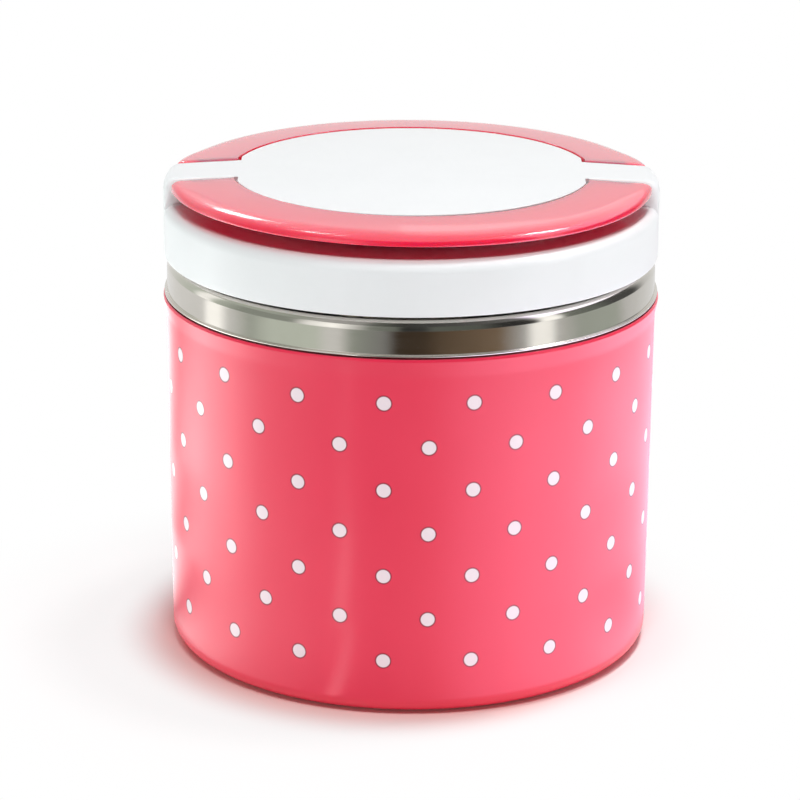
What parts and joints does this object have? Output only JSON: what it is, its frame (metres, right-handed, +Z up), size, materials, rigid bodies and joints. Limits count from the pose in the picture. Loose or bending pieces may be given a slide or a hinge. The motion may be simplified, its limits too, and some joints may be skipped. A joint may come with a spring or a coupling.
{
  "type": "insulated lunch box",
  "caption": "Round insulated lunch box: steel bowl in a foam-lined pink plastic shell, white twist-lock lid with two folding half-ring handles.",
  "frame": {"origin": "on the surface it stands on, under the middle of the ring foot", "axes": "+Z up along the axis of the bowl, X along the lid's crossbar, -Y towards the front handle"},
  "size_m": [0.1412, 0.1412, 0.138],
  "materials": {
    "shell_plastic": "satin",
    "handle_plastic": "gloss",
    "lid_plastic": "gloss",
    "liner_plastic": "satin",
    "collar_plastic": "matte",
    "bowl_steel": "satin",
    "band_steel": "polished",
    "pin_steel": "satin",
    "silicone": "matte",
    "foam": "matte"
  },
  "bodies": {
    "body": {"outer_shell": "shell_plastic", "insulation_base": "foam", "insulation_sleeve": "foam", "inner_bowl": "bowl_steel", "neck_collar": "collar_plastic", "shell_seal": "silicone", "neck_band": "band_steel"},
    "seal": {"lid_gasket": "silicone"},
    "lid": {"lid_cover": "lid_plastic", "lid_liner": "liner_plastic", "lid_insulation": "foam", "hinge_pin_front_left": "pin_steel", "hinge_pin_front_right": "pin_steel", "hinge_pin_back_left": "pin_steel", "hinge_pin_back_right": "pin_steel"},
    "front_handle": {"front_handle": "handle_plastic"},
    "back_handle": {"back_handle": "handle_plastic"}
  },
  "joints": [
    {"name": "lid_lift", "type": "slide", "parent": "body", "child": "seal", "axis": [0, 0, 1], "range_m": [0, 0.13]},
    {"name": "lid_twist", "type": "hinge", "parent": "seal", "child": "lid", "pos_m": [0, 0, 0.1237], "axis": [0, 0, 1], "range_deg": [-45, 0]},
    {"name": "front_handle_fold", "type": "hinge", "parent": "lid", "child": "front_handle", "pos_m": [0, -0.01205, 0.13595], "axis": [-1, 0, 0], "range_deg": [0, 98]},
    {"name": "back_handle_fold", "type": "hinge", "parent": "lid", "child": "back_handle", "pos_m": [0, 0.01205, 0.13595], "axis": [1, 0, 0], "range_deg": [0, 98]}
  ]
}
